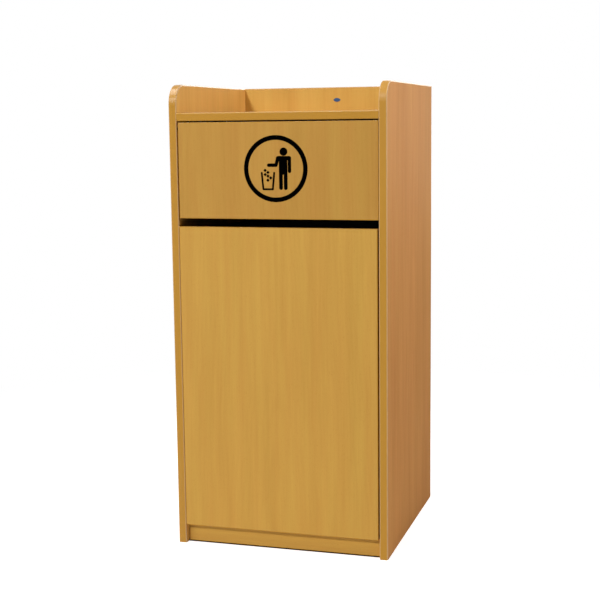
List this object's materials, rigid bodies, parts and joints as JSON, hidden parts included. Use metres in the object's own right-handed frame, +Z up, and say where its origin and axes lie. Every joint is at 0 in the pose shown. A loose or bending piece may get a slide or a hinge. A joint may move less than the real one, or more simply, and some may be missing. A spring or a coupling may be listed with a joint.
{
  "type": "tray-top waste receptacle cabinet",
  "caption": "Tray-top waste receptacle: laminated cabinet with gallery rails, push flap with a litter sign, open slot, hinged service door and a loose inner bin.",
  "frame": {"origin": "on the floor under the middle of the cabinet, half way between the front bands and the rear tapes of the side panels", "axes": "+Z up, front towards -Y, +X to the right of someone who faces the front"},
  "size_m": [0.56, 0.566, 1.186],
  "materials": {
    "side_laminate": "wood-pattern laminate on board, satin",
    "gallery_laminate": "wood-pattern laminate on board, satin",
    "front_laminate": "wood-pattern laminate on board, satin",
    "inner_laminate": "wood-pattern laminate on board, satin",
    "thick_edge_band": "wood-pattern plastic edging, soft gloss",
    "panel_edge_band": "wood-pattern plastic edging, soft gloss",
    "thin_edge_tape": "wood-pattern plastic tape, satin",
    "bare_wood": "planed, unfinished",
    "dark_paint": "painted dark brown, matt",
    "blackened_steel": "blackened",
    "nickel_steel": "nickel plated",
    "screw_steel": "bright zinc plated",
    "die_cast_zinc": "die cast, dull",
    "nylon": "moulded dark nylon",
    "bumper_rubber": "soft, dark grey",
    "catch_plastic": "moulded, brown",
    "bin_plastic": "moulded, fine grain",
    "black_vinyl": "cut vinyl film, satin",
    "blue_badge": "plain, glossy"
  },
  "bodies": {
    "cabinet": {"left_side_panel": "side_laminate", "right_side_panel": "side_laminate", "left_side_edge_band": "thick_edge_band", "right_side_edge_band": "thick_edge_band", "left_rear_edge_tape": "thin_edge_tape", "right_rear_edge_tape": "thin_edge_tape", "back_panel": "gallery_laminate", "back_top_edge_band": "thick_edge_band", "tray_top": "gallery_laminate", "tray_edge_band": "thick_edge_band", "bottom_panel": "inner_laminate", "bottom_edge_tape": "thin_edge_tape", "kick_plate": "front_laminate", "kick_lower_edge_tape": "thin_edge_tape", "flap_stop_rail": "dark_paint", "flap_stop_screws": "screw_steel", "flap_stop_bumpers": "bumper_rubber", "left_pivot_bush": "nylon", "right_pivot_bush": "nylon", "assembly_dowels": "bare_wood", "cam_bolts": "screw_steel", "cam_locks": "die_cast_zinc", "carcass_screws": "screw_steel", "oval_badge": "blue_badge", "upper_hinge_plate": "nickel_steel", "lower_hinge_plate": "nickel_steel", "upper_hinge_arm": "nickel_steel", "lower_hinge_arm": "nickel_steel", "hinge_plate_screws": "screw_steel", "hinge_arm_screws": "screw_steel", "catch_body": "catch_plastic", "catch_screws": "screw_steel", "door_bumpers": "bumper_rubber", "inner_bin": "bin_plastic", "upper_hinge_link": "nickel_steel", "lower_hinge_link": "nickel_steel"},
    "flap": {"flap_panel": "front_laminate", "flap_top_edge_band": "panel_edge_band", "flap_bottom_edge_band": "panel_edge_band", "flap_left_edge_band": "panel_edge_band", "flap_right_edge_band": "panel_edge_band", "left_pivot_pin": "blackened_steel", "right_pivot_pin": "blackened_steel", "litter_sign": "black_vinyl"},
    "door": {"door_panel": "front_laminate", "door_top_edge_band": "panel_edge_band", "door_bottom_edge_band": "panel_edge_band", "door_left_edge_band": "panel_edge_band", "door_right_edge_band": "panel_edge_band", "upper_hinge_cup": "nickel_steel", "lower_hinge_cup": "nickel_steel", "hinge_cup_screws": "screw_steel", "catch_strike": "nickel_steel", "strike_screws": "screw_steel"}
  },
  "joints": [
    {"name": "flap_swing", "type": "hinge", "parent": "cabinet", "child": "flap", "pos_m": [0, -0.274, 1.076], "axis": [1, 0, 0], "range_deg": [0, 85]},
    {"name": "door_swing", "type": "hinge", "parent": "cabinet", "child": "door", "pos_m": [-0.25915, -0.2825, 0.44], "axis": [0, 0, -1], "range_deg": [0, 105], "deforming": ["upper_hinge_link", "lower_hinge_link"]}
  ]
}
